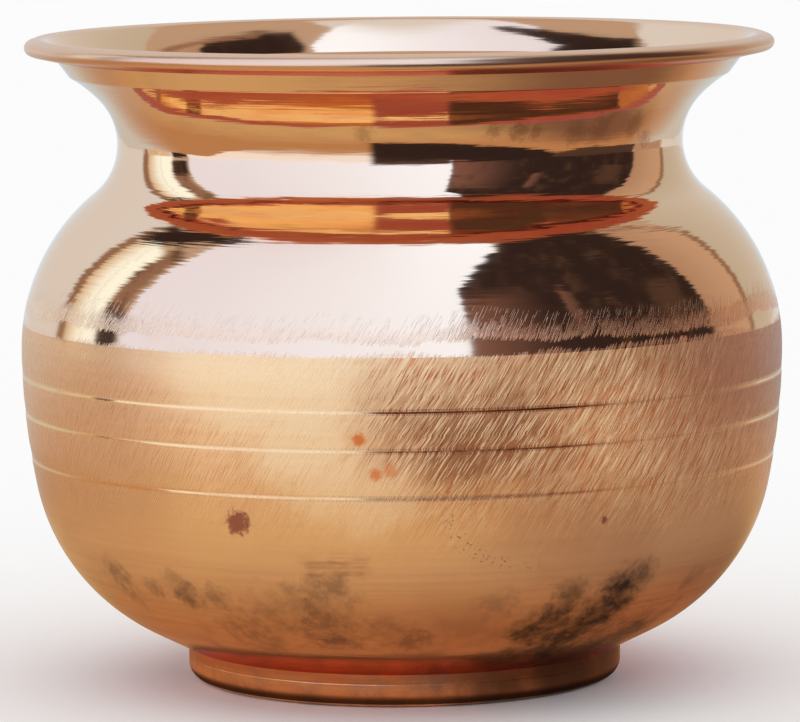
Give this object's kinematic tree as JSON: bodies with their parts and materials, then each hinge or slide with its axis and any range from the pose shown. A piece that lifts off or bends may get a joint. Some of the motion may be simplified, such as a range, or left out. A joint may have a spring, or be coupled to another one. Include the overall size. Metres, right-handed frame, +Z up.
{
  "type": "lota",
  "caption": "Round-bellied copper water pot with a waisted neck, a flared mouth with a wired lip, turned grooves round the belly and a low foot ring.",
  "frame": {"origin": "on the ground under the middle of the foot ring", "axes": "+Z up along the axis that the pot was turned on; any direction across it is alike, and -Y faces the viewer of the picture"},
  "size_m": [0.11, 0.11, 0.093],
  "materials": {
    "polished_copper": "mirror polished copper with fine turning lines",
    "brushed_copper": "scratch-brushed copper with tarnish spots",
    "seam_filler": "brazed seam polished flush with the copper",
    "drawn_wire": "plain drawn copper wire",
    "foot_copper": "polished copper, browned",
    "foot_filler": "dull braze fillet"
  },
  "bodies": {
    "root": {"neck_shell": "polished_copper", "belly_bowl": "brushed_copper", "seam_braze": "seam_filler", "rim_wire": "drawn_wire", "foot_ring": "foot_copper", "foot_braze": "foot_filler"}
  },
  "joints": []
}
